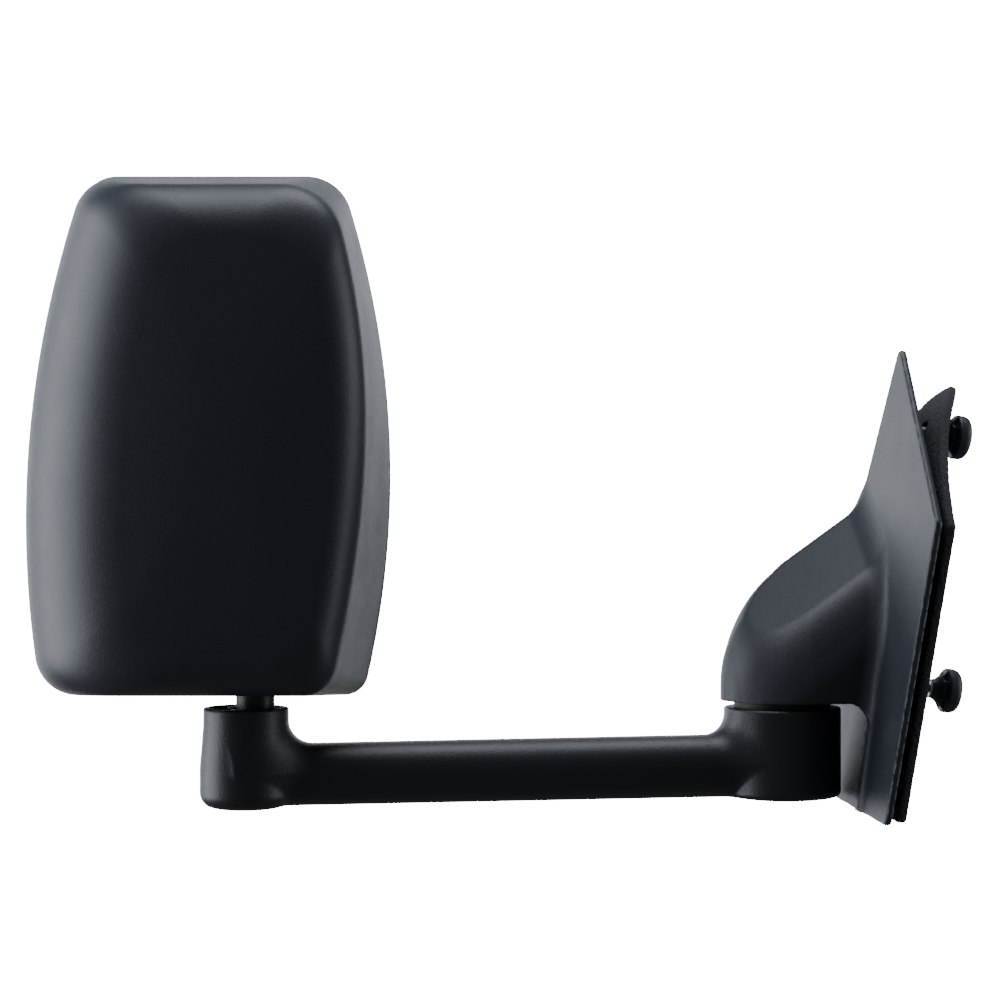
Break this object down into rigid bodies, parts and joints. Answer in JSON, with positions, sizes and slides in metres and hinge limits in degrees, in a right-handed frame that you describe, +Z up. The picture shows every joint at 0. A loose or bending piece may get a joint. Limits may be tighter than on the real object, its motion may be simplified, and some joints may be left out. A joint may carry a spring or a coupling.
{
  "type": "towing mirror",
  "caption": "Manual towing mirror: tall head with flat and convex glass on a swivelling post, folding arm, sail plate with foam gasket, studs and hand knobs.",
  "frame": {"origin": "midway between the two studs on the gasket's door face", "axes": "+X inboard, square to the door in plan; +Y rearward, the way the glass faces; +Z up"},
  "size_m": [0.505, 0.1493, 0.3412],
  "materials": {
    "plastic": "fine-grained satin, blue-black",
    "casting": "satin black powder coat",
    "foam": "closed-cell foam with a fabric-like edge",
    "steel": "zinc-plated",
    "zinc": "as cast",
    "nylon": "natural nylon",
    "black_nylon": "moulded black nylon",
    "brass": "turned",
    "mirror": "silvered"
  },
  "bodies": {
    "base": {"base_housing": "plastic", "base_bracket": "zinc", "bracket_screws": "steel", "gasket": "foam", "stud_upper": "steel", "stud_lower": "steel", "pivot_spindle": "steel", "spindle_screws": "zinc", "base_friction_ring": "black_nylon", "thrust_washer": "steel", "fold_spring": "steel", "spring_cup": "zinc", "spindle_nut": "zinc"},
    "arm": {"arm_casting": "casting", "hub_bush": "nylon", "arm_friction_ring": "black_nylon", "hub_cap": "black_nylon", "post_bush_upper": "nylon", "post_bush_lower": "nylon", "elbow_cap": "black_nylon", "elbow_cap_screws": "steel", "elbow_plug": "black_nylon"},
    "head": {"head_shell": "plastic", "head_bezel": "plastic", "head_frame": "zinc", "frame_screws": "steel", "post_bracket": "steel", "post_bracket_screws": "zinc", "swivel_post": "casting", "flange_screws": "zinc", "post_washer": "steel", "disc_springs": "steel", "post_nut": "zinc", "main_pan_pin": "steel", "spot_pan_pin": "steel"},
    "main_gimbal": {"main_cross": "black_nylon", "main_tilt_pin": "steel"},
    "main_glass": {"main_carrier": "black_nylon", "main_pad": "foam", "main_mirror": "mirror"},
    "spot_gimbal": {"spot_cross": "black_nylon", "spot_tilt_pin": "steel"},
    "spot_glass": {"spot_carrier": "black_nylon", "spot_pad": "foam", "spot_mirror": "mirror"},
    "upper_washer_body": {"washer_upper": "steel"},
    "upper_knob_body": {"knob_upper": "plastic", "insert_upper": "brass"},
    "lower_washer_body": {"washer_lower": "steel"},
    "lower_knob_body": {"knob_lower": "plastic", "insert_lower": "brass"}
  },
  "joints": [
    {"name": "arm_fold", "type": "hinge", "parent": "base", "child": "arm", "pos_m": [-0.0633, 0.01, -0.1], "axis": [0, 0, 1], "range_deg": [-80, 80]},
    {"name": "head_swivel", "type": "hinge", "parent": "arm", "child": "head", "pos_m": [-0.3475, 0.01, -0.09], "axis": [0, 0, 1], "range_deg": [-40, 40]},
    {"name": "main_pan", "type": "hinge", "parent": "head", "child": "main_gimbal", "pos_m": [-0.37339, 0.01863, 0.101], "axis": [0, 0, 1], "range_deg": [-8, 8]},
    {"name": "main_tilt", "type": "hinge", "parent": "main_gimbal", "child": "main_glass", "pos_m": [-0.37218, 0.02552, 0.101], "axis": [0.9848, -0.1736, 0], "range_deg": [-8, 8]},
    {"name": "spot_pan", "type": "hinge", "parent": "head", "child": "spot_gimbal", "pos_m": [-0.37635, 0.01915, -0.033], "axis": [0, 0, 1], "range_deg": [-8, 8]},
    {"name": "spot_tilt", "type": "hinge", "parent": "spot_gimbal", "child": "spot_glass", "pos_m": [-0.37513, 0.02604, -0.033], "axis": [0.9848, -0.1736, 0], "range_deg": [-8, 8]},
    {"name": "upper_knob_travel", "type": "slide", "parent": "base", "child": "upper_washer_body", "axis": [0.9903, 0, -0.1392], "range_m": [-0.004, 0.005]},
    {"name": "upper_knob_turn", "type": "hinge", "parent": "upper_washer_body", "child": "upper_knob_body", "pos_m": [0.02191, 0, 0.06609], "axis": [0.9903, 0, -0.1392], "range_deg": [-1440, 1800]},
    {"name": "lower_knob_travel", "type": "slide", "parent": "base", "child": "lower_washer_body", "axis": [0.9903, 0, -0.1392], "range_m": [-0.004, 0.005]},
    {"name": "lower_knob_turn", "type": "hinge", "parent": "lower_washer_body", "child": "lower_knob_body", "pos_m": [0.01641, 0, -0.07148], "axis": [0.9903, 0, -0.1392], "range_deg": [-1440, 1800]}
  ],
  "couplings": [
    {"joint": "upper_knob_turn", "follows": "upper_knob_travel", "rad_per_m": 6283.2},
    {"joint": "lower_knob_turn", "follows": "lower_knob_travel", "rad_per_m": 6283.2}
  ]
}
